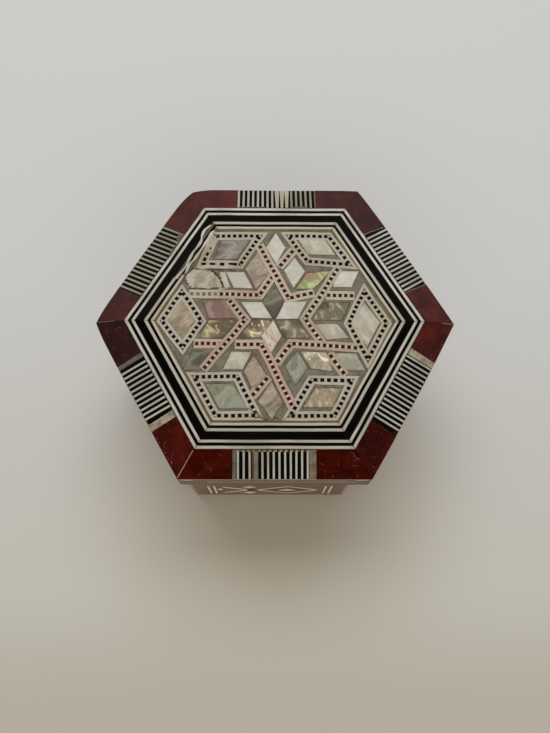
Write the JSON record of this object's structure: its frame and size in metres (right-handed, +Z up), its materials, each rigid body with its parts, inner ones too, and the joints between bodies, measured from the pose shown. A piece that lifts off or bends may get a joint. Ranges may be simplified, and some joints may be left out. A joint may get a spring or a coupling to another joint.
{
  "type": "inlaid box",
  "caption": "Six-sided wooden trinket box with a back-hinged lid, inlaid with a pearl star, dotted straps, line borders and striped rim blocks.",
  "frame": {"origin": "on the table, under the middle of the lid", "axes": "+Z up, front flat side of the box faces -Y, hinges on the +Y side, two corners of the lid point along -X and +X"},
  "size_m": [0.1206, 0.1046, 0.058],
  "materials": {
    "plain_wood": "satin",
    "mahogany": "gloss",
    "side_veneer": "satin",
    "white_bone": "satin",
    "rosy_bone": "satin",
    "black_veneer": "satin",
    "dark_filler": "satin",
    "white_pearl": "gloss",
    "grey_pearl": "gloss",
    "abalone": "gloss",
    "velvet": "pile",
    "brass": "satin"
  },
  "bodies": {
    "box_body": {"front_wall": "plain_wood", "front_right_wall": "plain_wood", "back_right_wall": "plain_wood", "back_wall": "plain_wood", "back_left_wall": "plain_wood", "front_left_wall": "plain_wood", "base_board": "plain_wood", "wall_veneer": "side_veneer", "floor_lining": "velvet", "wall_lining": "velvet", "hinge_left_body_leaf": "brass", "hinge_left_pin": "brass", "hinge_right_body_leaf": "brass", "hinge_right_pin": "brass"},
    "lid": {"hinge_left_lid_leaf": "brass", "hinge_right_lid_leaf": "brass", "lid_board": "plain_wood", "lid_lining": "velvet", "front_rail": "mahogany", "front_right_rail": "mahogany", "back_right_rail": "mahogany", "back_rail": "mahogany", "back_left_rail": "mahogany", "front_left_rail": "mahogany", "front_striped_block": "white_bone", "front_right_striped_block": "white_bone", "back_right_striped_block": "white_bone", "back_striped_block": "white_bone", "back_left_striped_block": "white_bone", "front_left_striped_block": "white_bone", "outer_line_band": "white_bone", "wide_black_band": "black_veneer", "inner_line_band": "white_bone", "star_ground": "dark_filler", "right_dotted_frame": "white_bone", "back_right_dotted_frame": "white_bone", "back_left_dotted_frame": "white_bone", "left_dotted_frame": "white_bone", "front_left_dotted_frame": "white_bone", "front_right_dotted_frame": "white_bone", "right_corner_pearl": "grey_pearl", "back_right_corner_pearl": "grey_pearl", "back_left_corner_pearl": "grey_pearl", "left_corner_pearl": "grey_pearl", "front_left_corner_pearl": "grey_pearl", "front_right_corner_pearl": "grey_pearl", "dotted_strapwork": "rosy_bone", "middle_star": "white_pearl", "front_point_lozenge": "white_pearl", "front_right_point_lozenge": "white_pearl", "back_right_point_lozenge": "white_pearl", "back_point_lozenge": "white_pearl", "back_left_point_lozenge": "white_pearl", "front_left_point_lozenge": "white_pearl", "right_paired_lozenges": "abalone", "back_right_paired_lozenges": "abalone", "back_left_paired_lozenges": "abalone", "left_paired_lozenges": "abalone", "front_left_paired_lozenges": "abalone", "front_right_paired_lozenges": "abalone"}
  },
  "joints": [
    {"name": "lid_hinge", "type": "hinge", "parent": "box_body", "child": "lid", "pos_m": [-0.0015, 0.0489, 0.04535], "axis": [-1, 0, 0], "range_deg": [0, 90]}
  ]
}
